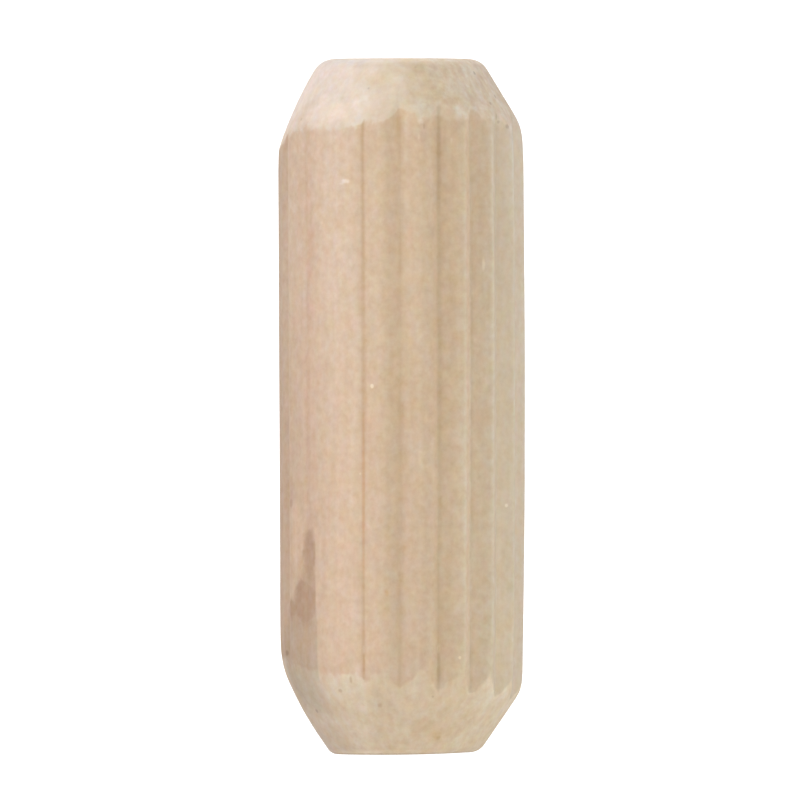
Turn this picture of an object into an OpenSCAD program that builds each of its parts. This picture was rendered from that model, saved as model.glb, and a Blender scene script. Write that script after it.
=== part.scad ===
// Fluted dowel pin for a 7/16 in (11.1 mm) hole, made from one piece of hardwood: a round bar
// pressed with flutes and turned to a blunt point at both ends.
// It stands on its bottom end. The origin is where the bar's axis meets that end face, and
// +Z runs along the axis.

/* [Bar] */
// Diameter over the crests of the flutes
pin_d = 11.3; // [9:0.05:14]
// Length over both end faces
pin_len = 31.7; // [22:0.1:60]
// Depth by which the bar falls short of round along its low side
low_side_depth = 0.2; // [0.02:0.01:0.25]
// Radius by which the low side's flatter arc exceeds the bar's own
low_side_extra_r = 1; // [0.5:0.1:6]
// Direction of the low side, counted from +X towards +Y
low_side_dir = -126; // [-180:1:180]

/* [Flutes] */
// Number of flutes pressed into the bar
flute_count = 20; // [14:1:26]
// Depth of the flutes, averaged around the bar
flute_depth = 0.28; // [0.2:0.01:0.34]
// Angle between the two flanks of a flute
flute_angle = 132; // [115:1:150]
// Angle by which each flute leans, so that its flank towards +Y from +X is the gentler one
flute_lean = 4; // [0:0.5:6]
// Radius at the root of each flute
flute_root_r = 0.15; // [0.05:0.01:0.4]
// Direction of the first flute, counted from +X towards +Y
flute_start_dir = -88.8; // [-180:0.1:180]
// Distance by which the ring of flutes is pushed off the bar's axis, which deepens one side
flute_runout = 0.14; // [0:0.01:0.18]
// Direction of the deepest flutes, counted from +X towards +Y
flute_runout_dir = -10; // [-180:1:180]

/* [Top point] */
// Distance from the crests in to the corner of the top end face, along the radius
top_point_inset = 2.0; // [1.6:0.01:2.4]
// Angle between the top point's side and the axis
top_point_angle = 30.5; // [25:0.5:37]
// Distance from the crests in to where the side eases off into the shoulder
top_shoulder_inset = 0.45; // [0.2:0.01:0.6]
// Angle between the top point's shoulder and the axis
top_shoulder_angle = 17; // [12:0.5:22]
// Radius that blends the side into the shoulder
top_blend_r = 10; // [1:0.5:13]
// Radius of the rounded edge around the top end face
top_edge_r = 0.9; // [0.2:0.05:1.1]
// Distance by which the top point sits off the bar's axis
top_point_runout = 0.3; // [0:0.01:0.4]
// Direction of that runout, counted from +X towards +Y
top_point_runout_dir = -80; // [-180:1:180]

/* [Bottom point] */
// Distance from the crests in to the corner of the bottom end face, along the radius
bottom_point_inset = 2.3; // [1.8:0.01:2.8]
// Angle between the bottom point's side and the axis
bottom_point_angle = 33.5; // [27:0.5:41]
// Distance from the crests in to where the side eases off into the shoulder
bottom_shoulder_inset = 0.41; // [0.2:0.01:0.6]
// Angle between the bottom point's shoulder and the axis
bottom_shoulder_angle = 14; // [10:0.5:20]
// Radius that blends the side into the shoulder
bottom_blend_r = 4.5; // [1:0.5:9]
// Radius of the rounded edge around the bottom end face
bottom_edge_r = 0.9; // [0.2:0.05:1.1]
// Distance by which the bottom point sits off the bar's axis
bottom_point_runout = 0.14; // [0:0.01:0.4]
// Direction of that runout, counted from +X towards +Y
bottom_point_runout_dir = 0; // [-180:1:180]

/* [Hidden] */

crest_r = pin_d / 2;
// How far the cutting shapes reach past the bar
over = 1;
$fn = 180;

// Unit step towards a direction across the bar
function heading(dir) = [cos(dir), sin(dir)];

// Cutter for one flute, in the plane of the bar's section: a leaning V with a rounded tip that
// touches x = 0 and opens towards +X.
module flute_cutter() {
    mouth_x = flute_depth + flute_runout + over;
    gentle = flank(flute_angle / 2 + flute_lean, mouth_x);
    steep = flank(flute_angle / 2 - flute_lean, mouth_x);
    polygon([gentle[0], gentle[1], [steep[1].x, -steep[1].y], [steep[0].x, -steep[0].y]]);
    translate([flute_root_r, 0]) circle(flute_root_r, $fn = 60);
}

// The two ends of a flank at an angle to +X: where it leaves the rounded tip, and at mouth_x.
function flank(angle, mouth_x) =
    let (leaves = [flute_root_r * (1 - sin(angle)), flute_root_r * cos(angle)])
    [leaves, [mouth_x, leaves.y + (mouth_x - leaves.x) * tan(angle)]];

// Section of the bar before it is fluted: round, but for the flatter arc of its low side.
module bar_section() {
    intersection() {
        circle(crest_r);
        translate(-(low_side_depth + low_side_extra_r) * heading(low_side_dir))
            circle(crest_r + low_side_extra_r);
    }
}

module fluted_section() {
    difference() {
        bar_section();
        translate(-flute_runout * heading(flute_runout_dir))
            for (i = [0 : flute_count - 1])
                rotate(flute_start_dir + i * 360 / flute_count)
                    translate([crest_r - flute_depth, 0]) flute_cutter();
    }
}

// Half section of everything that a turned point leaves, with x as radius and y as distance
// from the end face. From the face outwards it has the rounded edge, the straight side, the
// blend, and the shoulder, which runs on past the crests to wide_r.
module point_profile(inset, angle, shoulder_inset, shoulder_angle, blend_r, edge_r, wide_r) {
    side = [sin(angle), cos(angle)];
    shoulder = [sin(shoulder_angle), cos(shoulder_angle)];

    corner = [crest_r - inset, 0];
    bend = corner + side * (inset - shoulder_inset) / side.x;
    wide = bend + shoulder * (wide_r - bend.x) / shoulder.x;

    edge_trim = edge_r * tan((90 - angle) / 2);
    edge_mid = [corner.x - edge_trim, edge_r];
    side_start = corner + edge_trim * side;

    blend_trim = blend_r * tan((angle - shoulder_angle) / 2);
    blend_start = bend - blend_trim * side;
    blend_end = bend + blend_trim * shoulder;
    blend_mid = blend_start + blend_r * [-side.y, side.x];

    polygon([
        [0, 0], [edge_mid.x, 0], side_start, blend_start, blend_end,
        wide, [wide_r, pin_len + over], [0, pin_len + over]
    ]);
    arc_slice(edge_mid, edge_r, 0, side_start.y);
    arc_slice(blend_mid, blend_r, blend_start.y, blend_end.y);
}

// The slice of a disc between two heights, right of the y axis.
module arc_slice(mid, r, low, high) {
    intersection() {
        translate(mid) circle(r, $fn = 360);
        translate([0, low]) square([mid.x + r + over, high - low]);
    }
}

// The two envelopes reach past the far end of the bar, each about its own axis.
module top_point() {
    translate([0, 0, pin_len]) mirror([0, 0, 1])
        translate(top_point_runout * heading(top_point_runout_dir))
            rotate_extrude()
                point_profile(top_point_inset, top_point_angle, top_shoulder_inset,
                              top_shoulder_angle, top_blend_r, top_edge_r,
                              crest_r + top_point_runout + over);
}

module bottom_point() {
    translate(bottom_point_runout * heading(bottom_point_runout_dir))
        rotate_extrude()
            point_profile(bottom_point_inset, bottom_point_angle, bottom_shoulder_inset,
                          bottom_shoulder_angle, bottom_blend_r, bottom_edge_r,
                          crest_r + bottom_point_runout + over);
}

module dowel_pin() {
    color("#d9bea3")
        intersection() {
            linear_extrude(pin_len) fluted_section();
            top_point();
            bottom_point();
        }
}

dowel_pin();
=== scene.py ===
import math
from collections import namedtuple

import bpy
import numpy as np
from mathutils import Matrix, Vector


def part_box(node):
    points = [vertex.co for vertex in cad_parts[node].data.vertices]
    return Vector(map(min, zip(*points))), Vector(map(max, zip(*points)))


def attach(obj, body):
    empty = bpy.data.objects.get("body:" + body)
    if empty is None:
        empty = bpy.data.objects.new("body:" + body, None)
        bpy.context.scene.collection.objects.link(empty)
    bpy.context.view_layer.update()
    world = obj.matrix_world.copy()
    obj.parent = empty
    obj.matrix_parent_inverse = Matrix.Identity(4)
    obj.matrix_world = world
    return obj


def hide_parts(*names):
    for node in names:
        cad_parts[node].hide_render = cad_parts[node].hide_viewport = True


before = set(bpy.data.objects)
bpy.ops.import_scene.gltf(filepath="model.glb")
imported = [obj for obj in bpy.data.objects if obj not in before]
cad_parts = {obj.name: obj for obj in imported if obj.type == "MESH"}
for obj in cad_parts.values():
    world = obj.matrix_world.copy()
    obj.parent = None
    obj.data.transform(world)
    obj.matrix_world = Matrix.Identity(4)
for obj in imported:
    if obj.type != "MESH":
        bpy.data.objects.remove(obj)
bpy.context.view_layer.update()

# Sizes are in millimetres and degrees, and mm() turns them into Blender's metres. A turn is
# an angle round the pin's axis, counted from the front, -Y, towards +X.
MM = 0.001
pin_low, pin_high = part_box("dowel_pin")
PIN_LENGTH = (pin_high.z - pin_low.z) / MM

# The bar: its crests, and the flatter low side that the flutes hardly touch
CREST_R = 5.65
LOW_SIDE_DEPTH = 0.20
LOW_SIDE_EXTRA_R = 1.0
LOW_SIDE_TURN = -36.0
LOW_SIDE_EASE = 0.05

# The ring of pressed V flutes, which sits off the bar's axis
FLUTE_COUNT = 20
FLUTE_DEPTH = 0.28
FLUTE_ANGLE = 132.0
FLUTE_LEAN = 4.0
FLUTE_ROOT_R = 0.08
FIRST_FLUTE_TURN = 1.8
FLUTE_RUNOUT = 0.14
FLUTE_RUNOUT_TURN = 80.0
CREST_EASE = 0.09
# The crests are rounder just left of the front
FRONT_EASE, FRONT_EASE_TURN, FRONT_EASE_SPREAD = 0.20, -9.0, 13.0
# One flute at the front is pressed a little deeper
DEEP_FLUTE, DEEP_FLUTE_TURN, DEEP_FLUTE_SPREAD = 0.04, -1.0, 6.0
# The flutes left of the front stray a little from an even pitch
STRAY, STRAY_TURN, STRAY_SPREAD = 2.0, -10.0, 13.0
# Where the flutes lean further: (how many degrees, at which turn, round how much of the pin)
EXTRA_LEANS = ((5.0, -24.0, 6.0), (5.0, 28.0, 8.0))

# The two turned points, each a little different on the left and the right. face_r is the
# corner of the end face, widest_r what the shoulder would swell to if the bar let it, and
# ease how softly the shoulder meets the bar.
PointSide = namedtuple("PointSide", "face_r side_angle shoulder_r widest_r edge_r ease")
TOP_LEFT = PointSide(3.68, 30.7, 17.7, 6.47, 1.05, 0.01)
TOP_RIGHT = PointSide(3.60, 31.2, 5.2, 6.06, 0.98, 0.52)
BOTTOM_LEFT = PointSide(3.21, 34.3, 14.8, 6.37, 0.50, 0.35)
BOTTOM_RIGHT = PointSide(3.54, 33.5, 2.4, 5.78, 0.80, 0.25)

# Where each point swells, or falls short: (how far, at which turn, round how much of the pin)
TOP_SWELLS = ((0.40, 15.0, 24.0), (0.18, -62.0, 10.0), (0.06, -42.0, 10.0), (0.04, -1.0, 6.0))
BOTTOM_SWELLS = ((-0.13, 42.0, 24.0), (-0.06, -15.0, 24.0))

# The bottom face rises a little towards the right
BOTTOM_LIFT, LIFT_START_X, LIFT_WIDTH = 0.08, -1.4, 4.2

# The bar isn't quite straight. Its left side leans out towards the top and its right side
# swells at mid height: (distance from the axis, the height where it has it, how it changes)
LEFT_R, LEFT_R_HEIGHT, LEFT_LEAN = 5.534, 5.67, 0.0050
RIGHT_R, RIGHT_R_HEIGHT, RIGHT_BOW = 5.605, 16.6, 0.00050
# From front to back it is this share of its width
DEPTH_SHARE = 0.997

# Columns of the mesh, and its rings: over each end face, its edge, its point as far as
# POINT_REACH from the end, and along the wall between
COLUMNS_PER_FLUTE = 28
FACE_RINGS, EDGE_RINGS, POINT_RINGS, WALL_RINGS = 9, 7, 38, 56
POINT_REACH = 5.2
# A radius that cuts nothing, for the wall between the points
NO_CUT_R = 99.0

# How far from a flute's root it counts as root, and how deep the flute is there at least;
# how near to a crest's line, on its left and its right, it counts as crest
ROOT_REACH, ROOT_DEPTH = 0.12, 0.06
CREST_REACH_LEFT, CREST_REACH_RIGHT = 0.22, 0.15
# Heights from an end over which the end grain shows, the fine relief grows to its full
# size, and the lift of the bottom face dies out
END_GRAIN_HEIGHT, RELIEF_HEIGHT, LIFT_HEIGHT = 0.15, 0.6, 2.0
# How far a point's cut lies outside the wall where the wall's shift to one side is in full
SHIFT_EASE = 0.3

# Seeded relief as (height, blur round the pin, blur along it): long fibres and waves on the
# pressed wall, and fuzz where the wood was turned. The noise behind it is a grid of columns
# and rows that runs on past the pin's length.
RELIEF_SEED = 7
FIBRES = (0.0030, 0.09, 1.0)
WAVES = (0.0050, 0.45, 3.5)
FUZZ = (0.0018, 0.12, 0.16)
GRID_COLUMNS, GRID_ROWS, GRID_LENGTH = 720, 512, PIN_LENGTH * 1.25

# The camera: width of its film, its lens, and where it stands
FILM_WIDTH, LENS = 36.0, 1184.0
CAMERA_X, CAMERA_BACK, CAMERA_HEIGHT = -0.083, 1200.0, 16.15

# The floor: half of its side, its grey, how brightly it glows on the pin, and how much
# brighter than that it looks. Then how bright the white behind the pin looks.
FLOOR_HALF = 1600.0
FLOOR_GREY, FLOOR_GLOW, FLOOR_EXTRA_GLOW = 0.22, 0.45, 0.75
ROOM_GLOW = 1.3

# Far, broad lights: (name, turn, height in degrees, strength, tint). strength is how bright
# one makes a white surface that faces it.
SKY_PANEL_WIDTH = 35.0
SKY_PANELS = (
    ("left high", -80.0, 50.0, 0.44, (1.00, 0.97, 0.98)),
    ("left low", -70.0, 12.0, 0.195, (0.95, 1.00, 1.00)),
    ("front", 10.0, 12.0, 0.115, (1.00, 0.96, 0.91)),
    ("front right", 30.0, 12.0, 0.365, (0.99, 1.00, 0.92)),
    ("right low", 110.0, 12.0, 0.345, (0.84, 0.88, 1.00)),
    ("back high", -160.0, 50.0, 0.82, (0.85, 0.91, 1.00)),
)


def mm(*lengths):
    """Millimetres as Blender's metres."""
    return tuple(MM * length for length in lengths)


# ---------------------------------------------------------------- camera, floor and light

def add_camera():
    """A level long-lens camera square on to the pin's front."""
    data = bpy.data.cameras.new("camera")
    data.sensor_width = FILM_WIDTH
    data.lens = LENS
    camera = bpy.data.objects.new("camera", data)
    camera.location = mm(CAMERA_X, -CAMERA_BACK, CAMERA_HEIGHT)
    camera.rotation_euler = (math.radians(90.0), 0.0, 0.0)
    bpy.context.scene.collection.objects.link(camera)
    bpy.context.scene.camera = camera


def add_floor():
    """A plain pale floor, a flat square level with the pin's bottom end, lit from below as a
    light table is. It looks whiter than the light that it throws on the pin."""
    mesh = bpy.data.meshes.new("floor")
    corners = [mm(x * FLOOR_HALF, y * FLOOR_HALF, 0.0)
               for x, y in ((-1, -1), (1, -1), (1, 1), (-1, 1))]
    mesh.from_pydata(corners, [], [(0, 1, 2, 3)])
    floor = bpy.data.objects.new("floor", mesh)
    bpy.context.scene.collection.objects.link(floor)
    material = bpy.data.materials.new("pale floor")
    material.use_nodes = True
    tree = material.node_tree
    shader = tree.nodes["Principled BSDF"]
    shader.inputs["Base Color"].default_value = (FLOOR_GREY, FLOOR_GREY, FLOOR_GREY, 1.0)
    shader.inputs["Roughness"].default_value = 1.0
    shader.inputs["Specular IOR Level"].default_value = 0.0
    shader.inputs["Emission Color"].default_value = (1.0, 1.0, 1.0, 1.0)
    path = tree.nodes.new("ShaderNodeLightPath")
    glow = maths(tree, "MULTIPLY_ADD", path.outputs["Is Camera Ray"], FLOOR_EXTRA_GLOW,
                 FLOOR_GLOW)
    put(tree, shader.inputs["Emission Strength"], glow)
    mesh.materials.append(material)


def add_sky_panel(name, turn, elevation, strength, tint):
    """A far, broad light from one direction, with the sizes that SKY_PANELS gives."""
    turn, elevation = math.radians(turn), math.radians(elevation)
    away = Vector((math.sin(turn) * math.cos(elevation), -math.cos(turn) * math.cos(elevation),
                   math.sin(elevation)))
    data = bpy.data.lights.new(name, "SUN")
    data.angle = math.radians(SKY_PANEL_WIDTH)
    data.energy = math.pi * strength
    data.color = tint
    light = bpy.data.objects.new(name, data)
    light.rotation_mode = "QUATERNION"
    light.rotation_quaternion = away.to_track_quat("Z", "Y")
    bpy.context.scene.collection.objects.link(light)


def add_white_room():
    """Plain white behind the pin. It is only seen, and the panels do the lighting."""
    world = bpy.data.worlds.new("white room")
    world.use_nodes = True
    tree = world.node_tree
    tree.nodes.clear()
    dark = tree.nodes.new("ShaderNodeBackground")
    dark.inputs["Strength"].default_value = 0.0
    white = tree.nodes.new("ShaderNodeBackground")
    white.inputs["Color"].default_value = (1.0, 1.0, 1.0, 1.0)
    white.inputs["Strength"].default_value = ROOM_GLOW
    path = tree.nodes.new("ShaderNodeLightPath")
    either = tree.nodes.new("ShaderNodeMixShader")
    out = tree.nodes.new("ShaderNodeOutputWorld")
    tree.links.new(path.outputs["Is Camera Ray"], either.inputs["Fac"])
    tree.links.new(dark.outputs["Background"], either.inputs[1])
    tree.links.new(white.outputs["Background"], either.inputs[2])
    tree.links.new(either.outputs["Shader"], out.inputs["Surface"])
    bpy.context.scene.world = world


def add_studio():
    """Soft light all round: high from the left and from behind, low from the front, slightly
    warm there and cooler from the right."""
    add_white_room()
    for panel in SKY_PANELS:
        add_sky_panel(*panel)
    scene = bpy.context.scene
    scene.view_settings.view_transform = "Standard"
    scene.view_settings.look = "None"


# ---------------------------------------------------------------- shape of the pin

def soft_min(a, b, ease):
    """The smaller of a and b, with the corner between them rounded over a width of ease:
    min(a, b) less a quarter of ease times the square of how near they are."""
    near = np.clip(1.0 - np.abs(a - b) / ease, 0.0, 1.0)
    return np.minimum(a, b) - 0.25 * ease * near ** 2


def along(turn, middle_x, middle_front, r):
    """Distance from the axis, along each turn, to a circle of radius r whose middle lies
    middle_x to the right and middle_front to the front."""
    ahead = middle_x * np.sin(turn) + middle_front * np.cos(turn)
    return ahead + np.sqrt(r ** 2 - middle_x ** 2 - middle_front ** 2 + ahead ** 2)


def bar_radius(turn):
    """The bar's section before it is fluted: the crests' circle, cut on its low side by a
    wider circle."""
    low = math.radians(LOW_SIDE_TURN)
    shift = -(LOW_SIDE_DEPTH + LOW_SIDE_EXTRA_R)
    low_side = along(turn, shift * math.sin(low), shift * math.cos(low),
                     CREST_R + LOW_SIDE_EXTRA_R)
    return soft_min(low_side, np.full_like(turn, CREST_R), LOW_SIDE_EASE)


def flute_flank(away, lean):
    """Distance from the ring's middle to one flute's surface, away radians from its root. A
    flank is a straight line that leaves the root at its own angle to the radius, which gives
    root * sin(angle) / sin(angle - away), with away rounded near 0 for the root's radius. The
    flank on the right is the gentler one."""
    half = math.radians(FLUTE_ANGLE / 2)
    root = CREST_R - FLUTE_DEPTH - FLUTE_ROOT_R * (1 / math.sin(half) - 1)
    rounded = np.hypot(away, FLUTE_ROOT_R * math.cos(half) / root)
    angle = half + lean * away / rounded
    return root * np.sin(angle) / np.sin(angle - rounded)


def flute_radius(turn):
    """The ring of leaning V flutes as a radius for each turn: the smaller of the two flutes
    on either side of the turn. Also returned are how far each turn lies from the nearest
    flute's root, in radians, and how evenly the two flutes meet there, which is 0 on the
    line of a crest."""
    push = math.radians(FLUTE_RUNOUT_TURN)
    middle_x, middle_front = -FLUTE_RUNOUT * math.sin(push), -FLUTE_RUNOUT * math.cos(push)
    pitch = 2 * math.pi / FLUTE_COUNT
    ring_turn = np.arctan2(CREST_R * np.sin(turn) - middle_x,
                           CREST_R * np.cos(turn) - middle_front)
    ring_turn = ring_turn + np.radians(bulge(turn, STRAY, STRAY_TURN, STRAY_SPREAD))
    flute = (ring_turn - math.radians(FIRST_FLUTE_TURN)) / pitch
    past = pitch * (flute - np.floor(flute))
    lean = np.radians(FLUTE_LEAN + sum(bulge(turn, *one) for one in EXTRA_LEANS))
    left = flute_flank(past, lean)
    right = flute_flank(past - pitch, lean)
    radius = along(turn, middle_x, middle_front, soft_min(left, right, CREST_EASE))
    radius = radius - bulge(turn, DEEP_FLUTE, DEEP_FLUTE_TURN, DEEP_FLUTE_SPREAD)
    return radius, np.minimum(past, pitch - past), left - right


def bulge(turn, size, middle, spread):
    """A bell-shaped swelling round one turn, size high."""
    off = np.degrees(np.angle(np.exp(1j * (turn - math.radians(middle)))))
    return size * np.exp(-0.5 * (off / spread) ** 2)


def point_side(left, right, turn):
    """A point's sizes at each turn, shading from its left side to its right side."""
    share = 0.5 * (1.0 + np.sin(turn))
    mixed = [a + (b - a) * share for a, b in zip(left, right)]
    mixed[-1] = left.ease + (right.ease - left.ease) * share ** 2
    return PointSide(*mixed)


def point_radius(side, swell, depth):
    """Radius of a turned point at each depth below its end face: a straight side from the
    face's corner, then an arc that eases it off towards its widest radius."""
    lean = np.radians(side.side_angle)
    straight = side.face_r + depth * np.tan(lean)
    arc_start_r = side.widest_r - side.shoulder_r * (1.0 - np.cos(lean))
    arc_start = (arc_start_r - side.face_r) / np.tan(lean)
    arc_top = arc_start + side.shoulder_r * np.sin(lean)
    short = np.clip(arc_top - depth, 0.0, side.shoulder_r)
    curved = side.widest_r - side.shoulder_r + np.sqrt(side.shoulder_r ** 2 - short ** 2)
    return np.where(depth < arc_start, straight, curved) + swell


def edge_arc(side, swell, share):
    """The rounded edge between an end face and the point's side, from share 0 on the face
    to 1 on the side: (radius, depth)."""
    lean = np.radians(side.side_angle)
    trim = side.edge_r * np.tan((math.pi / 2 - lean) / 2)
    swept = share * (math.pi / 2 - lean)
    radius = side.face_r - trim + side.edge_r * np.sin(swept) + swell
    return radius, side.edge_r * (1.0 - np.cos(swept))


def wall_fit(section, turns, height):
    """Fits a section to the bar's left and right sides at each height. The left one is
    LEFT_R plus LEFT_LEAN for each millimetre of height, the right one RIGHT_R less RIGHT_BOW
    times the square of the height from the middle. Returns the scale and the shift to the
    right that bring each ring there."""
    left = LEFT_R + LEFT_LEAN * (height[:, :1] - LEFT_R_HEIGHT)
    right = RIGHT_R - RIGHT_BOW * (height[:, :1] - RIGHT_R_HEIGHT) ** 2
    furthest_left = -(section * np.sin(turns)).min(axis=1, keepdims=True)
    furthest_right = (section * np.sin(turns)).max(axis=1, keepdims=True)
    scale = (left + right) / (furthest_left + furthest_right)
    return scale, right - scale * furthest_right


def smooth_field(rng, turn, height, across, lengthwise):
    """A seeded random surface over the pin with unit deviation: white noise on a regular
    grid, blurred by across round the pin and by lengthwise along it, read off between the
    grid's points."""
    white = np.fft.fft2(rng.standard_normal((GRID_ROWS, GRID_COLUMNS)))
    fx = np.fft.fftfreq(GRID_COLUMNS, 2 * math.pi * CREST_R / GRID_COLUMNS)
    fz = np.fft.fftfreq(GRID_ROWS, GRID_LENGTH / GRID_ROWS)
    blur = np.exp(-2 * (math.pi * across * fx[None, :]) ** 2
                  - 2 * (math.pi * lengthwise * fz[:, None]) ** 2)
    field = np.fft.ifft2(white * blur).real
    field /= field.std()
    u = (turn / (2 * math.pi)) % 1.0 * GRID_COLUMNS
    v = (height / GRID_LENGTH) % 1.0 * GRID_ROWS
    u0, v0 = np.floor(u).astype(int), np.floor(v).astype(int)
    du, dv = u - u0, v - v0
    u0, v0 = u0 % GRID_COLUMNS, v0 % GRID_ROWS
    u1, v1 = (u0 + 1) % GRID_COLUMNS, (v0 + 1) % GRID_ROWS
    return ((1 - du) * (1 - dv) * field[v0, u0] + du * (1 - dv) * field[v0, u1]
            + (1 - du) * dv * field[v1, u0] + du * dv * field[v1, u1])


def grain_relief(turn, height, is_cut):
    """Ups and downs of the surface in millimetres: waves all over, with long fibres on the
    pressed wall and fuzz where the wood was turned."""
    rng = np.random.default_rng(RELIEF_SEED)
    fibres, waves, fuzz = [size * smooth_field(rng, turn, height, across, lengthwise)
                           for size, across, lengthwise in (FIBRES, WAVES, FUZZ)]
    return waves + np.where(is_cut, fuzz, fibres)


def end_rings(left, right, swells, turn):
    """Radius and depth of the rings over one end: its face, its rounded edge and its point
    down to POINT_REACH, before the bar and the flutes cut the point short."""
    side = point_side(left, right, turn)
    swell = sum(bulge(turn, *one) for one in swells)
    arc_start, _ = edge_arc(side, swell, 0.0)
    _, arc_depth = edge_arc(side, swell, 1.0)
    radii, depths = [], []
    for share in np.linspace(0.0, 1.0, FACE_RINGS + 1)[1:]:
        radii.append(share * arc_start)
        depths.append(np.zeros_like(turn))
    for share in np.linspace(0.0, 1.0, EDGE_RINGS + 1)[1:]:
        radius, depth = edge_arc(side, swell, share)
        radii.append(radius)
        depths.append(depth)
    for share in np.linspace(0.0, 1.0, POINT_RINGS + 1)[1:]:
        depth = arc_depth + (POINT_REACH - arc_depth) * share
        radii.append(point_radius(side, swell, depth))
        depths.append(depth)
    return np.array(radii), np.array(depths), side


def pin_surface():
    """The whole pin as rings round its axis from the bottom face's middle to the top's: at
    each turn and height the radius is the smallest of the bar, the two points and the
    flutes, with the shoulders and the crests eased. Returns the ring points, the two end
    middles, and four numbers for each point: cut, how deep the turned surface lies below the
    pressed one; root and crest, how near it lies to such a line; and end, how far it belongs
    to an end face."""
    columns = FLUTE_COUNT * COLUMNS_PER_FLUTE
    turn = np.arange(columns) * 2 * math.pi / columns

    bottom_r, bottom_z, bottom_side = end_rings(BOTTOM_LEFT, BOTTOM_RIGHT, BOTTOM_SWELLS, turn)
    top_r, top_depth, top_side = end_rings(TOP_LEFT, TOP_RIGHT, TOP_SWELLS, turn)
    wall_z = np.linspace(POINT_REACH, PIN_LENGTH - POINT_REACH, WALL_RINGS + 2)[1:-1]
    wall_z = np.repeat(wall_z[:, None], columns, axis=1)
    height = np.vstack([bottom_z, wall_z, PIN_LENGTH - top_depth[::-1]])
    free = np.full_like(wall_z, NO_CUT_R)
    point = np.vstack([bottom_r, free, top_r[::-1]])
    low_half = height < 0.5 * PIN_LENGTH
    ease = np.where(low_half, bottom_side.ease, top_side.ease)
    turns = np.broadcast_to(turn, height.shape)

    bar = bar_radius(turns)
    crest_ease = CREST_EASE + bulge(turns, FRONT_EASE, FRONT_EASE_TURN, FRONT_EASE_SPREAD)
    flute, away, evenness = flute_radius(turns)
    scale, shift = wall_fit(soft_min(bar, flute, crest_ease), turns, height)
    bar, flute = bar * scale, flute * scale
    pressed = soft_min(bar, flute, crest_ease)
    envelope = soft_min(bar, point, ease)
    radius = soft_min(envelope, flute, crest_ease)
    cut = np.clip(pressed - point, -1.0, 1.0)
    depth_of_flute = np.clip((bar - flute) / ROOT_DEPTH, 0.0, 1.0)
    root = np.exp(-(away * CREST_R / ROOT_REACH) ** 2) * depth_of_flute
    crest = np.where(evenness < 0.0, np.exp(np.minimum(evenness, 0.0) / CREST_REACH_LEFT),
                     np.exp(-(evenness / CREST_REACH_RIGHT) ** 2))

    from_end = np.minimum(height, PIN_LENGTH - height)
    end = np.clip(1.0 - from_end / END_GRAIN_HEIGHT, 0.0, 1.0) ** 2
    rough = np.clip(from_end / RELIEF_HEIGHT, 0.0, 1.0)
    radius = radius + grain_relief(turns, height, cut > 0.0) * rough
    on_wall = np.clip((point - pressed) / SHIFT_EASE, 0.0, 1.0)
    x = radius * np.sin(turns) + shift * on_wall
    y = -DEPTH_SHARE * radius * np.cos(turns)
    rise = np.clip((x - LIFT_START_X) / LIFT_WIDTH, 0.0, 1.0)
    z = height + BOTTOM_LIFT * rise ** 2 * np.clip(1.0 - height / LIFT_HEIGHT, 0.0, 1.0)
    points = np.stack([x, y, z], axis=-1)
    lift = BOTTOM_LIFT * (-LIFT_START_X / LIFT_WIDTH) ** 2
    middles = np.array([(0.0, 0.0, lift), (0.0, 0.0, PIN_LENGTH)])
    return points, middles, {"cut": cut, "root": root, "crest": crest, "end": end}


def closed_mesh(name, points, middles):
    """A mesh of rings and the two middles that close it, faces outwards."""
    rings, columns = points.shape[:2]
    index = np.arange(rings * columns).reshape(rings, columns)
    beside = np.roll(index, -1, axis=1)
    quads = np.stack([index[:-1], beside[:-1], beside[1:], index[1:]], axis=-1).reshape(-1, 4)
    bottom, top = rings * columns, rings * columns + 1
    fan_low = np.stack([np.full(columns, bottom), beside[0], index[0]], axis=-1)
    fan_high = np.stack([np.full(columns, top), index[-1], beside[-1]], axis=-1)
    mesh = bpy.data.meshes.new(name)
    places = np.vstack([points.reshape(-1, 3), middles]) * MM
    corners = np.concatenate([quads.ravel(), fan_low.ravel(), fan_high.ravel()])
    sizes = np.concatenate([np.full(len(quads), 4), np.full(2 * columns, 3)])
    mesh.vertices.add(len(places))
    mesh.vertices.foreach_set("co", places.astype(np.float32).ravel())
    mesh.loops.add(len(corners))
    mesh.loops.foreach_set("vertex_index", corners.astype(np.int32))
    mesh.polygons.add(len(sizes))
    starts = np.concatenate([[0], np.cumsum(sizes)[:-1]])
    mesh.polygons.foreach_set("loop_start", starts.astype(np.int32))
    mesh.polygons.foreach_set("use_smooth", np.ones(len(sizes), dtype=bool))
    mesh.update(calc_edges=True)
    mesh.validate()
    return mesh


def add_attribute(mesh, name, values):
    """A number for each point of the mesh."""
    attribute = mesh.attributes.new(name, "FLOAT", "POINT")
    attribute.data.foreach_set("value", values.astype(np.float32).ravel())


def add_pin():
    """The whole pin as one closed mesh, with its four measures as attributes."""
    points, middles, measures = pin_surface()
    mesh = closed_mesh("fluted pin", points, middles)
    for name, values in measures.items():
        at_middles = 1.0 if name in ("cut", "end") else 0.0
        add_attribute(mesh, name, np.append(values.ravel(), (at_middles, at_middles)))
    mesh.materials.append(wood())
    pin = bpy.data.objects.new("fluted_pin", mesh)
    bpy.context.scene.collection.objects.link(pin)
    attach(pin, "root")
    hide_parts("dowel_pin")


# ---------------------------------------------------------------- nodes

def put(tree, socket, value):
    """Links value to the socket if it comes from another node, or sets it there."""
    if isinstance(value, bpy.types.NodeSocket):
        tree.links.new(value, socket)
    else:
        socket.default_value = value


def maths(tree, operation, *values):
    """The result of a sum on numbers."""
    node = tree.nodes.new("ShaderNodeMath")
    node.operation = operation
    for socket, value in zip(node.inputs, values):
        put(tree, socket, value)
    return node.outputs["Value"]


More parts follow.
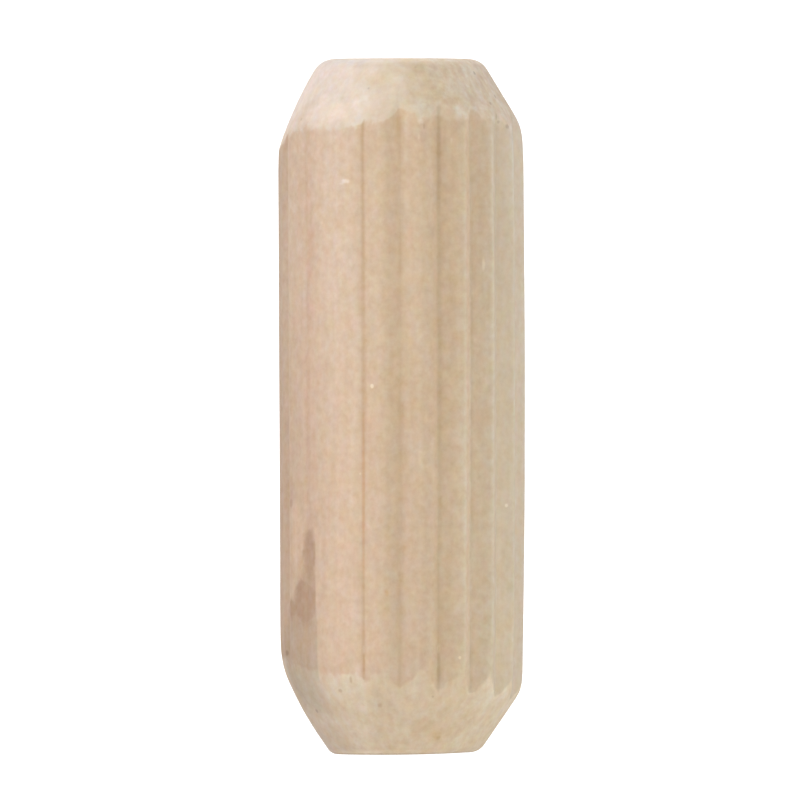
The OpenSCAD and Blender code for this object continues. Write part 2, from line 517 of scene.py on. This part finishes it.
def vector_maths(tree, operation, *values, result="Vector"):
    """The result of a sum on vectors."""
    node = tree.nodes.new("ShaderNodeVectorMath")
    node.operation = operation
    for socket, value in zip(node.inputs, values):
        put(tree, socket, value)
    return node.outputs[result]


def scaled(tree, vector, factors):
    """The vector with each part multiplied by its own factor."""
    return vector_maths(tree, "MULTIPLY", vector, factors)


def noise(tree, place, size, detail=2.0, rough=0.5, result="Fac"):
    """Noise over a place in millimetres, with lumps about half of size across."""
    node = tree.nodes.new("ShaderNodeTexNoise")
    put(tree, node.inputs["Vector"], place)
    node.inputs["Scale"].default_value = 1.0 / size
    node.inputs["Detail"].default_value = detail
    node.inputs["Roughness"].default_value = rough
    return node.outputs[result]


def centred(tree, value, amount):
    """Noise turned into a height that varies about 0."""
    return maths(tree, "MULTIPLY_ADD", value, amount, -0.5 * amount)


def spread(tree, value, amount):
    """Noise turned into a factor that varies about 1."""
    return maths(tree, "MULTIPLY_ADD", value, amount, 1.0 - 0.5 * amount)


def varied(tree, place, size, detail, rough, amount):
    """A factor that varies about 1 from place to place."""
    return spread(tree, noise(tree, place, size, detail, rough), amount)


def between(tree, value, low, high):
    """0 below low, 1 above high, with a soft step between. low may be the larger."""
    node = tree.nodes.new("ShaderNodeMapRange")
    node.interpolation_type = "SMOOTHSTEP"
    put(tree, node.inputs["Value"], value)
    node.inputs["From Min"].default_value = min(low, high)
    node.inputs["From Max"].default_value = max(low, high)
    node.inputs["To Min"].default_value = 0.0 if low < high else 1.0
    node.inputs["To Max"].default_value = 1.0 if low < high else 0.0
    return node.outputs["Result"]


def product(tree, *values):
    """All the values multiplied together."""
    result = values[0]
    for value in values[1:]:
        result = maths(tree, "MULTIPLY", result, value)
    return result


def colour_mix(tree, share, a, b, blend="MIX"):
    """Colour a with colour b over it by share. Each is a socket, or red, green and blue."""
    node = tree.nodes.new("ShaderNodeMix")
    node.data_type = "RGBA"
    node.blend_type = blend
    put(tree, node.inputs["Factor"], share)
    put(tree, node.inputs["A"], a if isinstance(a, bpy.types.NodeSocket) else (*a, 1.0))
    put(tree, node.inputs["B"], b if isinstance(b, bpy.types.NodeSocket) else (*b, 1.0))
    return node.outputs["Result"]


def by_turn(tree, turn, stops):
    """A colour for each turn, shading evenly from each stop of (degrees, colour) to the
    next."""
    node = tree.nodes.new("ShaderNodeValToRGB")
    share = maths(tree, "MULTIPLY_ADD", turn, 1.0 / 360.0, 0.5)
    put(tree, node.inputs["Fac"], share)
    elements = node.color_ramp.elements
    while len(elements) < len(stops):
        elements.new(0.5)
    for element, (degrees, colour) in zip(elements, stops):
        element.position = degrees / 360.0 + 0.5
        element.color = (*colour, 1.0)
    return node.outputs["Color"]


def attribute(tree, name):
    """One of the pin's measures, which add_pin() puts on the mesh."""
    node = tree.nodes.new("ShaderNodeAttribute")
    node.attribute_name = name
    return node.outputs["Fac"]


def tinted(tree, colour, factors):
    """The colour with its red, green and blue multiplied by factors."""
    return colour_mix(tree, 1.0, colour, factors, "MULTIPLY")


def shaded(tree, share, colour, factors):
    """The colour, tinted by factors as far as share says."""
    return colour_mix(tree, share, colour, tinted(tree, colour, factors))


def spot(tree, unrolled, turn, height, half_width, half_height, soft):
    """1 within an ellipse on the wall, 0 outside it, in millimetres round a turn and height.
    soft is the share of its size over which it fades."""
    centre = (math.radians(turn) * CREST_R, height, 0.0)
    off = vector_maths(tree, "SUBTRACT", unrolled, centre)
    off = scaled(tree, off, (1.0 / half_width, 1.0 / half_height, 0.0))
    distance = vector_maths(tree, "LENGTH", off, result="Value")
    return between(tree, distance, 1.0 + soft, 1.0 - soft)


# ---------------------------------------------------------------- wood

# Colours of the wood as pressed, as turned and across the grain, and inside its open pores
PRESSED = (0.761, 0.572, 0.400)
FRESH = (0.83, 0.68, 0.517)
END_GRAIN = (0.70, 0.545, 0.385)
PORE = (0.40, 0.28, 0.18)
END_PORE = (0.36, 0.24, 0.15)

# Factors of red, green and blue: a crest worn pale and given a painted highlight, a tan patch
# of a turned point, painted light on the foot, painted shade on the top's rim, and the brown
# and the faded grey of the glue stain
WEAR_AND_HIGHLIGHT = (1.03, 1.105, 1.13)
TAN = (0.95, 0.915, 0.86)
FOOT_LIGHT = (1.26, 1.30, 1.32)
RIM_SHADE = (0.74, 0.755, 0.78)
STAIN_BROWN = (0.765, 0.705, 0.67)
STAIN_GREY = (0.83, 0.84, 0.83)

# Steps over heights or turns. Each begins at its first number and is complete at its second.
HIGH_ON_WALL = (12.0, 23.0)
ON_TOP_POINT = (15.0, 17.0)
ON_RIGHT, SHORT_OF_BACK = (0.0, 25.0), (150.0, 110.0)
FAR_RIGHT = (46.0, 56.0)
WEAR_AND_HIGHLIGHT_SIDE = (12.0, 30.0)
# AT_FOOT: where painted light lifts the shade under the foot
AT_FOOT = (0.30, 0.02)
# AT_RIM and the step after it: where the top's rim gets painted shade, and where that eases off
AT_RIM = (PIN_LENGTH - 0.60, PIN_LENGTH + 0.05)
RIM_SHADE_EASING = (-40.0, 25.0)
BROWN_EDGE, GREY_EDGE = (-46.3, -47.7), (-45.2, -46.6)
GREY_ON_WALL, GREY_ON_POINT = (3.1, 3.5), (1.2, 2.8)
GREY_POINT_EDGE = (-41.0, -55.0)

# How many times longer than wide fibres and threads are
FIBRE_STRETCH, THREAD_STRETCH = 14.0, 45.0
# The sway of ragged edges: its noise as (size, detail, roughness), and how far it reaches
# round the pin and along it
SWAY_NOISE = (0.9, 3.0, 0.6)
SWAY = (0.55, 1.1, 0.0)

# Noise along the flute roots, and between which of its values they darken, partly with
# painted shade
ROOT_NOISE, ROOT_STEP = 0.5, (0.10, 0.50)
# Noise of the turned points' tan patches, and between which of its values they show
TAN_NOISE, TAN_STEP = (3.0, 2.0, 0.6), (0.50, 0.68)
# How much of a worn crest and its painted highlight shows, and how much less painted shade the
# rim gets from the front round to the right
WEAR_AND_HIGHLIGHT_SHARE, RIM_SHADE_EASED = 0.9, 0.8

# The cut's border is where the cut lies CUT_EDGE above the pressed surface. It fades over
# CUT_FADE on both sides, and CUT_BLUR takes that much off its steepness on the top point's
# right. Two noises tear it: each is (size, detail, roughness), and a height in millimetres.
CUT_EDGE, CUT_FADE, CUT_BLUR = 0.025, 0.045, 0.5
TEAR_NOISE, TEAR_HEIGHT = (0.5, 2.0, 0.6), 0.20
COMB_NOISE, COMB_HEIGHT = (0.45, 2.0, 0.5), 0.16

# The mottle: each noise is (size, detail, roughness, how far it sways the tone)
SPECKLE = (0.34, 3.0, 0.6, 0.42)
FINE_FIBRES = (0.30, 2.0, 0.5, 0.12)
FINE_THREADS = (0.7, 2.0, 0.5, 0.10)
CLOUDS = (1.3, 2.0, 0.5, 0.08)
PATCHES, PATCH_SHAPE = (0.85, 2.0, 0.5, 0.13), (1.0, 1.0, 0.8)
# Changes of its strength on the top point, on that point's right side besides, and far
# round on the right of the wall
MOTTLE_ON_TOP, MOTTLE_ON_TOP_RIGHT, MOTTLE_FAR_RIGHT = -0.20, 0.60, -0.27
# Red and blue are the tone raised to these powers, swayed besides by a noise of their own
RED_POWER, BLUE_POWER = 0.53, 1.45
HUE_NOISE, HUE_SHAPE = (0.50, 3.0, 0.6), (1.0, 1.0, 0.7)
RED_SWAY, BLUE_SWAY = 0.17, 0.37

# Open pores: size of their cells in millimetres, radius as a share of it, and how much of a
# pore's colour shows. A pore fades out at PORE_FADE times its radius, and it is open by how
# far its own random number has come from the first OPEN_PORES to the second.
CUT_PORES, CUT_PORE_SHARE = (0.75, 0.08), 0.30
END_PORES, END_PORE_SHARE = (0.22, 0.20), 0.55
PORE_FADE, OPEN_PORES = 1.6, (0.55, 1.0)

# End grain: where the pith lies, size of the noise that the rings waver by, rings to a
# millimetre, where in a ring late wood starts, and how dark it is
PITH = (-9.0, 14.0, 0.0)
WAVER_SIZE = 4.0
RINGS_PER_MM, LATE_FROM, LATE_SHADE = 0.62, 0.55, 0.90
# Its rays: their scale round the pith and away from it, their noise as (size, detail),
# between which of its values one shows, how much of it, and how pale it is
RAY_ROUND, RAY_AWAY = 16.0, 0.12
RAY_NOISE, RAY_STEP = (0.16, 1.0), (0.60, 0.68)
RAY_SHARE, RAY_SHADE = 0.5, 1.12

# Bump: its height in millimetres and strength, its two noises, and how strong the fuzz is
# on the pressed wall and how much stronger where the wood was turned
BUMP_HEIGHT, BUMP_STRENGTH = 0.02, 0.35
BUMP_FUZZ, BUMP_FIBRE = (0.22, 2.0, 0.6), (0.16, 2.0, 0.6)
LEAST_FUZZ, MORE_FUZZ = 0.5, 0.8
# Roughness: its noise's size, its least, and how much more it gets
ROUGH_SIZE, LEAST_ROUGH, MORE_ROUGH = 0.5, 0.54, 0.20
SPECULAR = 0.25

# Shades round the pin as (turn, factors of red, green and blue), palest left of the front,
# browner to the left and greener to the right. The wall's darkening towards its left edge,
# around -95 to -80, is painted shade.
WALL_HIGH = ((-180, (0.98, 0.96, 0.98)), (-115, (0.94, 0.91, 0.95)), (-95, (0.78, 0.75, 0.79)),
             (-80, (0.82, 0.80, 0.84)), (-70, (0.965, 0.95, 0.995)), (-60, (1.025, 1.00, 1.06)),
             (-51, (1.015, 0.985, 1.045)), (-43, (1.06, 1.04, 1.11)),
             (-30, (1.085, 1.095, 1.175)), (-18, (1.03, 1.03, 1.065)), (-6, (0.995, 0.985, 0.98)),
             (5, (1.015, 1.01, 1.02)), (12, (0.99, 0.99, 0.995)), (20, (0.965, 0.95, 0.925)),
             (30, (0.965, 0.96, 0.955)), (45, (0.936, 0.965, 0.985)), (55, (0.90, 0.967, 0.99)),
             (65, (0.91, 0.973, 1.027)), (75, (0.90, 0.98, 1.06)), (180, (0.98, 0.96, 0.98)))
WALL_LOW = ((-180, (0.98, 0.96, 0.98)), (-115, (0.93, 0.89, 0.91)), (-95, (0.75, 0.71, 0.72)),
            (-80, (0.775, 0.735, 0.755)), (-70, (0.895, 0.85, 0.87)), (-43, (1.0, 0.97, 1.01)),
            (-30, (1.06, 1.02, 1.06)), (-18, (1.02, 0.995, 1.015)), (-5, (0.985, 0.98, 0.985)),
            (5, (0.965, 0.96, 0.97)), (10, (0.985, 0.98, 0.985)), (14, (1.01, 1.01, 1.01)),
            (20, (1.0, 1.01, 1.0)), (30, (1.0, 1.02, 1.02)), (45, (0.965, 1.01, 1.035)),
            (55, (0.93, 1.0, 1.035)), (65, (0.925, 0.99, 1.02)), (75, (0.905, 0.985, 1.05)),
            (180, (0.98, 0.96, 0.98)))
# The top point darkens round the back: painted shade
TOP_ZONES = ((-180, (0.88, 0.875, 0.88)), (-48, (1.00, 1.005, 1.125)), (-24, (1.06, 1.09, 1.215)),
             (-20, (1.065, 1.11, 1.245)), (-15, (1.025, 1.045, 1.10)), (-8, (0.99, 1.0, 1.02)),
             (3, (0.98, 0.98, 0.98)), (11, (0.97, 0.96, 0.94)), (30, (0.99, 0.98, 0.98)),
             (75, (0.99, 0.98, 1.0)), (180, (0.88, 0.875, 0.88)))
BOTTOM_ZONES = ((-180, (1.0, 0.98, 0.95)), (-75, (0.87, 0.83, 0.83)), (-60, (0.93, 0.895, 0.89)),
                (-50, (0.955, 0.92, 0.915)), (-43, (0.985, 0.95, 0.94)),
                (-31, (1.06, 1.055, 1.05)), (-9, (0.96, 0.925, 0.88)), (12, (1.0, 0.97, 0.93)),
                (24, (0.985, 0.94, 0.875)), (37, (1.01, 1.0, 0.96)), (52, (1.03, 1.045, 1.02)),
                (180, (1.0, 0.98, 0.95)))
# How the flute roots darken round the pin: the reddish line near -18 is the wood's own colour,
# and the darkening in the roots is partly painted shade
ROOT_SHADES = ((-180, (0.92, 0.90, 0.88)), (-80, (1.0, 1.0, 1.0)), (-60, (1.0, 0.99, 0.98)),
               (-28, (0.96, 0.94, 0.92)), (-18, (0.84, 0.765, 0.67)), (-8, (0.96, 0.94, 0.90)),
               (-1, (0.96, 0.95, 0.92)), (18, (0.90, 0.90, 0.865)), (37, (0.91, 0.92, 0.91)),
               (56, (0.95, 0.95, 0.94)), (180, (0.92, 0.90, 0.88)))

# The glue stain: (turn, height, half width, half height, softness, strength) of its narrow
# tip, its neck, the main patch and the lobe on its left. The grey below has no strength of
# its own.
STAIN = (
    (-51.2, 9.08, 0.46, 1.20, 0.45, 1.0),
    (-51.2, 7.95, 0.56, 0.95, 0.35, 0.75),
    (-54.0, 6.95, 0.95, 1.00, 0.20, 1.0),
    (-66.0, 6.62, 0.42, 0.42, 0.40, 1.0),
)
STAIN_FADED = (-58.0, 4.1, 1.90, 2.7, 0.25)

# Marks up to this half width are drawn sharp, and wider ones have ragged edges
SHARP_MARK = 0.2
# Small marks: (turn, height, half width, half height, softness, factors of the colour)
MARKS = (
    # a pale nick and a few pale flecks: the nick and the flecks beside it are pale wood with a
    # painted glint on it, and the flecks at -14.5, 28.6, 61.2 and 42.9 are painted glints
    (-28.0, 26.10, 0.20, 0.09, 0.6, (1.16, 1.26, 1.45)),
    (-30.2, 26.00, 0.10, 0.05, 0.6, (1.05, 1.08, 1.14)),
    (-26.7, 26.04, 0.07, 0.10, 0.6, (1.06, 1.09, 1.15)),
    (-14.5, 16.78, 0.09, 0.10, 0.4, (1.22, 1.36, 1.48)),
    (-42.0, 24.20, 0.08, 0.06, 0.5, (1.06, 1.08, 1.10)),
    (-20.5, 12.80, 0.05, 0.05, 0.5, (1.10, 1.14, 1.18)),
    (28.6, 4.45, 0.06, 0.07, 0.4, (1.18, 1.21, 1.24)),
    (61.2, 11.35, 0.08, 0.08, 0.5, (1.20, 1.25, 1.30)),
    (42.9, 22.33, 0.07, 0.24, 0.6, (1.13, 1.19, 1.22)),
    # the deepest root filled at one spot, and a pale and a dark stretch of the root at -19.1
    (18.7, 4.85, 0.10, 0.20, 0.5, (1.08, 1.13, 1.16)),
    (-19.1, 4.80, 0.06, 0.22, 0.5, (1.05, 1.10, 1.20)),
    (-19.1, 4.15, 0.06, 0.38, 0.4, (0.95, 0.90, 0.86)),
    # the palest, cleanest cut, next to the wall at the top
    (-43.0, 29.20, 1.25, 0.75, 0.4, (1.10, 1.13, 1.17)),
    (-30.0, 29.30, 0.95, 0.50, 0.5, (1.06, 1.055, 1.055)),
    (9.5, 29.28, 0.85, 0.40, 0.6, (1.02, 1.05, 1.075)),
    (21.0, 29.32, 1.75, 0.42, 0.6, (1.06, 1.115, 1.21)),
    (58.0, 29.20, 1.30, 0.45, 0.6, (1.09, 1.14, 1.22)),
    # fibres torn up where the cut meets a crest
    (8.9, 28.80, 0.12, 0.10, 0.6, (1.08, 1.13, 1.20)),
    (10.4, 28.57, 0.05, 0.11, 0.6, (0.90, 0.87, 0.84)),
    (8.0, 28.10, 0.05, 0.14, 0.6, (1.07, 1.11, 1.15)),
    (24.5, 27.95, 0.05, 0.10, 0.5, (1.07, 1.11, 1.15)),
    # a browner patch between the pale ones
    (-10.0, 29.30, 1.10, 0.38, 0.6, (0.98, 0.945, 0.905)),
    # paler and darker bands along the wall; the narrow pale ones at -22.5 and -33.0 are painted
    # highlights on the edges beside flute roots
    (58.0, 5.00, 1.20, 1.80, 0.6, (1.03, 1.03, 1.03)),
    (-22.5, 11.0, 0.38, 8.00, 0.6, (1.015, 1.03, 1.04)),
    (-33.0, 19.0, 0.14, 10.5, 0.6, (1.025, 1.03, 1.04)),
    (66.0, 26.5, 0.90, 2.20, 0.6, (1.02, 1.05, 1.09)),
    (70.0, 5.60, 0.80, 1.60, 0.6, (1.035, 1.03, 1.01)),
    (44.5, 5.60, 0.35, 1.60, 0.6, (0.97, 0.965, 0.96)),
    (56.3, 25.0, 0.45, 4.00, 0.6, (0.965, 0.96, 0.965)),
    # darker down the right flank of the flute right of the deepest one: painted shade near its
    # root
    (39.5, 16.0, 0.40, 12.5, 0.6, (0.98, 0.98, 0.98)),
    (41.0, 24.3, 0.42, 4.20, 0.6, (0.98, 0.98, 0.98)),
    # the deepest root is darkest where it runs out at each end: painted shade in the root
    (18.7, 27.60, 0.09, 1.80, 0.8, (0.915, 0.89, 0.865)),
    (18.7, 3.90, 0.09, 0.75, 0.7, (0.90, 0.875, 0.85)),
    # a darker and a paler flank beside it, low on the wall
    (6.5, 5.40, 0.60, 1.50, 0.6, (0.98, 0.965, 0.955)),
    (15.0, 5.40, 0.35, 1.50, 0.6, (1.02, 1.04, 1.03)),
    # paler wood beside the stain
    (-61.0, 9.80, 0.50, 1.60, 0.4, (1.09, 1.08, 1.08)),
    # resin and bruises
    (-19.1, 11.5, 0.07, 3.40, 0.5, (1.03, 0.96, 0.91)),
    (-7.4, 7.40, 0.10, 0.16, 0.5, (0.99, 0.93, 0.83)),
    (-50.0, 23.0, 0.28, 2.90, 0.7, (0.98, 0.935, 0.915)),
    (-50.5, 16.5, 0.40, 5.50, 0.5, (1.00, 0.955, 0.955)),
    (-66.0, 12.0, 0.16, 0.65, 0.6, (0.95, 0.91, 0.90)),
    (-66.3, 11.45, 0.15, 0.20, 0.4, (0.87, 0.83, 0.81)),
    (-73.0, 4.63, 0.12, 0.12, 0.4, (0.78, 0.73, 0.70)),
    (-82.0, 4.80, 0.30, 0.90, 0.5, (0.96, 0.94, 0.92)),
    # open pores, splits and a smudge on the turned points
    (53.2, 31.03, 0.11, 0.08, 0.5, (0.74, 0.69, 0.65)),
    (65.0, 29.98, 0.09, 0.08, 0.5, (0.80, 0.76, 0.73)),
    (54.5, 29.65, 0.08, 0.07, 0.5, (0.82, 0.78, 0.74)),
    (62.5, 28.60, 0.13, 0.10, 0.6, (0.77, 0.73, 0.71)),
    (57.0, 28.80, 0.07, 0.07, 0.5, (0.84, 0.80, 0.78)),
    (55.7, 29.05, 0.05, 0.15, 0.5, (0.86, 0.82, 0.80)),
    (-26.3, 3.44, 0.07, 0.15, 0.6, (0.84, 0.77, 0.72)),
    (-33.7, 2.94, 0.12, 0.08, 0.6, (0.82, 0.75, 0.69)),
    (-59.1, 1.99, 0.12, 0.08, 0.6, (0.76, 0.71, 0.68)),
    (-12.0, 2.28, 0.12, 0.10, 0.7, (0.87, 0.80, 0.74)),
    (25.9, 0.78, 0.12, 0.09, 0.7, (0.88, 0.83, 0.76)),
    (25.0, 0.90, 0.32, 0.14, 0.6, (0.96, 0.92, 0.85)),
)


class Place:
    """Where a point of the pin's surface is: in millimetres in space, its height and turn,
    unrolled, unrolled with a ragged sway, and drawn out along the grain. Also how far it
    belongs to the upper half, and to the right side short of the back."""

    def __init__(self, tree):
        texture = tree.nodes.new("ShaderNodeTexCoord")
        self.point = vector_maths(tree, "SCALE", texture.outputs["Object"])
        self.point.node.inputs["Scale"].default_value = 1.0 / MM
        split = tree.nodes.new("ShaderNodeSeparateXYZ")
        put(tree, split.inputs["Vector"], self.point)
        self.height = split.outputs["Z"]
        front = maths(tree, "MULTIPLY", split.outputs["Y"], -1.0)
        radians = maths(tree, "ARCTAN2", split.outputs["X"], front)
        self.turn = maths(tree, "MULTIPLY", radians, 180.0 / math.pi)
        self.on_top = between(tree, self.height, *ON_TOP_POINT)
        self.short_of_back = between(tree, self.turn, *SHORT_OF_BACK)
        self.on_right = product(tree, between(tree, self.turn, *ON_RIGHT), self.short_of_back)
        join = tree.nodes.new("ShaderNodeCombineXYZ")
        put(tree, join.inputs["X"], maths(tree, "MULTIPLY", radians, CREST_R))
        put(tree, join.inputs["Y"], self.height)
        self.unrolled = join.outputs["Vector"]
        sway = noise(tree, self.point, *SWAY_NOISE, result="Color")
        swayed = vector_maths(tree, "ADD", self.unrolled, scaled(tree, sway, SWAY))
        half = tuple(0.5 * part for part in SWAY)
        self.ragged = vector_maths(tree, "SUBTRACT", swayed, half)
        self.fibre = scaled(tree, self.point, (1.0, 1.0, 1.0 / FIBRE_STRETCH))
        self.thread = scaled(tree, self.point, (1.0, 1.0, 1.0 / THREAD_STRETCH))


def wall_colour(tree, place):
    """The pressed wall: pinkish on the left, palest left of the front, warm in the middle and
    greener round to the right, with painted shade towards the left edge, darker flute roots
    that are partly painted shade and, on the right, crests worn paler with a painted highlight."""
    upper = between(tree, place.height, *HIGH_ON_WALL)
    zones = colour_mix(tree, upper, by_turn(tree, place.turn, WALL_LOW),
                       by_turn(tree, place.turn, WALL_HIGH))
    colour = tinted(tree, PRESSED, zones)
    # darker flute roots, partly painted shade
    uneven = between(tree, noise(tree, place.thread, ROOT_NOISE), *ROOT_STEP)
    root = product(tree, attribute(tree, "root"), uneven)
    colour = shaded(tree, root, colour, by_turn(tree, place.turn, ROOT_SHADES))
    # crests on the right, worn paler and given a painted highlight
    side = between(tree, place.turn, *WEAR_AND_HIGHLIGHT_SIDE)
    crest = product(tree, attribute(tree, "crest"), side, WEAR_AND_HIGHLIGHT_SHARE)
    return shaded(tree, crest, colour, WEAR_AND_HIGHLIGHT)


def cut_colour(tree, place):
    """The turned points: cream where the cut runs along the grain, tan in soft patches, and
    painted paler round the foot, painted light against the shade under it. The top's rim is
    darker with painted shade, less of it from the front round to the right."""
    zones = colour_mix(tree, place.on_top, by_turn(tree, place.turn, BOTTOM_ZONES),
                       by_turn(tree, place.turn, TOP_ZONES))
    colour = tinted(tree, FRESH, zones)
    patch = between(tree, noise(tree, place.point, *TAN_NOISE), *TAN_STEP)
    colour = shaded(tree, patch, colour, TAN)
    # painted light round the foot, against the shade that falls under it
    colour = shaded(tree, between(tree, place.height, *AT_FOOT), colour, FOOT_LIGHT)
    # painted shade on the top's rim, less of it from the front round to the right
    past = between(tree, place.turn, *RIM_SHADE_EASING)
    less = maths(tree, "MULTIPLY_ADD", past, -RIM_SHADE_EASED, 1.0)
    rim = product(tree, between(tree, place.height, *AT_RIM), less)
    return shaded(tree, rim, colour, RIM_SHADE)


def end_grain(tree, place):
    """The two end faces: rings that arch across from a pith off to one side, fine rays along
    them, and open pores."""
    from_pith = vector_maths(tree, "SUBTRACT", place.point, PITH)
    flat = scaled(tree, from_pith, (1.0, 1.0, 0.0))
    waver = noise(tree, place.point, WAVER_SIZE)
    distance = maths(tree, "ADD", vector_maths(tree, "LENGTH", flat, result="Value"), waver)
    ring = maths(tree, "FRACT", maths(tree, "MULTIPLY", distance, RINGS_PER_MM))
    late = tuple(LATE_SHADE * part for part in END_GRAIN)
    colour = colour_mix(tree, between(tree, ring, LATE_FROM, 1.0), END_GRAIN, late)

    split = tree.nodes.new("ShaderNodeSeparateXYZ")
    put(tree, split.inputs["Vector"], flat)
    bearing = maths(tree, "ARCTAN2", split.outputs["Y"], split.outputs["X"])
    join = tree.nodes.new("ShaderNodeCombineXYZ")
    put(tree, join.inputs["X"], maths(tree, "MULTIPLY", bearing, RAY_ROUND))
    put(tree, join.inputs["Y"], maths(tree, "MULTIPLY", distance, RAY_AWAY))
    ray = between(tree, noise(tree, join.outputs["Vector"], *RAY_NOISE), *RAY_STEP)
    pale = tuple(min(1.0, RAY_SHADE * part) for part in END_GRAIN)
    colour = colour_mix(tree, product(tree, ray, RAY_SHARE), colour, pale)

    pore = product(tree, pores(tree, place.point, *END_PORES), END_PORE_SHARE)
    return colour_mix(tree, pore, colour, END_PORE)


def pores(tree, point, size, radius):
    """Small open pores: the middles of Voronoi cells of a size, each of its own depth."""
    cells = tree.nodes.new("ShaderNodeTexVoronoi")
    put(tree, cells.inputs["Vector"], point)
    cells.inputs["Scale"].default_value = 1.0 / size
    hole = between(tree, cells.outputs["Distance"], PORE_FADE * radius, radius)
    split = tree.nodes.new("ShaderNodeSeparateColor")
    put(tree, split.inputs["Color"], cells.outputs["Color"])
    return product(tree, hole, between(tree, split.outputs["Red"], *OPEN_PORES))


def stain(tree, place, colour):
    """A brown glue stain in the shallow flute on the left near the bottom. It runs down from
    a narrow tip, spreads in two lobes and ends at the flute's right edge. Below it fades to
    grey, which ends at the same edge on the wall and softly on the turned point."""
    brown = 0.0
    for *where, strength in STAIN:
        part = product(tree, spot(tree, place.ragged, *where), strength)
        brown = maths(tree, "MAXIMUM", brown, part)
    brown = product(tree, brown, between(tree, place.turn, *BROWN_EDGE))

    on_wall = product(tree, between(tree, place.turn, *GREY_EDGE),
                      between(tree, place.height, *GREY_ON_WALL))
    on_point = product(tree, between(tree, place.turn, *GREY_POINT_EDGE),
                       between(tree, place.height, *GREY_ON_POINT))
    grey = product(tree, spot(tree, place.ragged, *STAIN_FADED),
                   maths(tree, "MAXIMUM", on_wall, on_point))
    greyed = colour_mix(tree, brown, tinted(tree, colour, STAIN_GREY), colour)
    colour = colour_mix(tree, grey, colour, greyed)
    return shaded(tree, brown, colour, STAIN_BROWN)


def marked(tree, place, colour, marks):
    """The colour with each small mark's factors over it."""
    for turn, height, half_width, half_height, soft, factors in marks:
        where = place.ragged if half_width > SHARP_MARK else place.unrolled
        mask = spot(tree, where, turn, height, half_width, half_height, soft)
        colour = shaded(tree, mask, colour, factors)
    return colour


def mottled(tree, place, colour, fresh):
    """Fine speckle, lengthwise fibres and a slight drift of hue over the whole pin. Darker
    specks are browner, so blue follows the tone further than green, and red less far. The
    speckle is livelier on the top point's right side and calmer far right on the wall."""
    tone = product(tree, varied(tree, place.point, *SPECKLE),
                   varied(tree, place.fibre, *FINE_FIBRES),
                   varied(tree, place.thread, *FINE_THREADS),
                   varied(tree, place.point, *CLOUDS),
                   varied(tree, scaled(tree, place.point, PATCH_SHAPE), *PATCHES))

    more = maths(tree, "MULTIPLY_ADD", place.on_right, MOTTLE_ON_TOP_RIGHT, MOTTLE_ON_TOP)
    at_top = product(tree, fresh, place.on_top, more)
    far_right = product(tree, between(tree, place.turn, *FAR_RIGHT), place.short_of_back,
                        maths(tree, "SUBTRACT", 1.0, fresh), MOTTLE_FAR_RIGHT)
    strength = maths(tree, "ADD", 1.0, maths(tree, "ADD", at_top, far_right))
    tone = maths(tree, "POWER", tone, strength)

    hues = noise(tree, scaled(tree, place.point, HUE_SHAPE), *HUE_NOISE, result="Color")
    split = tree.nodes.new("ShaderNodeSeparateColor")
    put(tree, split.inputs["Color"], hues)
    red = product(tree, maths(tree, "POWER", tone, RED_POWER),
                  spread(tree, split.outputs["Red"], RED_SWAY))
    blue = product(tree, maths(tree, "POWER", tone, BLUE_POWER),
                   spread(tree, split.outputs["Blue"], BLUE_SWAY))
    join = tree.nodes.new("ShaderNodeCombineColor")
    put(tree, join.inputs["Red"], red)
    put(tree, join.inputs["Green"], tone)
    put(tree, join.inputs["Blue"], blue)
    return tinted(tree, colour, join.outputs["Color"])


def relief(tree, place, fresh):
    """Bump of the fibres, with more fuzz where the wood was turned."""
    fuzz = noise(tree, place.point, *BUMP_FUZZ)
    fibre = noise(tree, place.fibre, *BUMP_FIBRE)
    fuzzy = maths(tree, "MULTIPLY_ADD", fresh, MORE_FUZZ, LEAST_FUZZ)
    height = maths(tree, "ADD", fibre, product(tree, fuzz, fuzzy))
    bump = tree.nodes.new("ShaderNodeBump")
    bump.inputs["Strength"].default_value = BUMP_STRENGTH
    bump.inputs["Distance"].default_value = BUMP_HEIGHT * MM
    put(tree, bump.inputs["Height"], height)
    return bump.outputs["Normal"]


def turned_share(tree, place):
    """How far a point shows the turned surface and not the pressed one. Their border is torn
    by noise along the grain and across it, and blurred on the right of the top point."""
    torn = centred(tree, noise(tree, place.point, *TEAR_NOISE), TEAR_HEIGHT)
    combed = centred(tree, noise(tree, place.fibre, *COMB_NOISE), COMB_HEIGHT)
    cut = maths(tree, "ADD", maths(tree, "ADD", attribute(tree, "cut"), torn), combed)
    blurred = product(tree, place.on_top, place.on_right)
    sharp = maths(tree, "MULTIPLY_ADD", blurred, -CUT_BLUR, 1.0)
    past_edge = maths(tree, "MULTIPLY", maths(tree, "ADD", cut, CUT_EDGE), sharp)
    return between(tree, past_edge, -CUT_FADE, CUT_FADE)


def wood():
    """Bare pale hardwood, pressed on the wall, turned on the points, end grain on the faces."""
    material = bpy.data.materials.new("hardwood")
    material.use_nodes = True
    tree = material.node_tree
    shader = tree.nodes["Principled BSDF"]
    place = Place(tree)

    fresh = turned_share(tree, place)
    colour = colour_mix(tree, fresh, wall_colour(tree, place), cut_colour(tree, place))
    colour = stain(tree, place, colour)
    colour = marked(tree, place, colour, MARKS)
    speck = product(tree, pores(tree, place.point, *CUT_PORES), fresh, CUT_PORE_SHARE)
    colour = colour_mix(tree, speck, colour, PORE)
    colour = colour_mix(tree, attribute(tree, "end"), colour, end_grain(tree, place))
    colour = mottled(tree, place, colour, fresh)
    put(tree, shader.inputs["Base Color"], colour)

    uneven = noise(tree, place.fibre, ROUGH_SIZE)
    rough = maths(tree, "MULTIPLY_ADD", uneven, MORE_ROUGH, LEAST_ROUGH)
    put(tree, shader.inputs["Roughness"], rough)
    put(tree, shader.inputs["Normal"], relief(tree, place, fresh))
    shader.inputs["Specular IOR Level"].default_value = SPECULAR
    return material


add_camera()
add_floor()
add_studio()
add_pin()
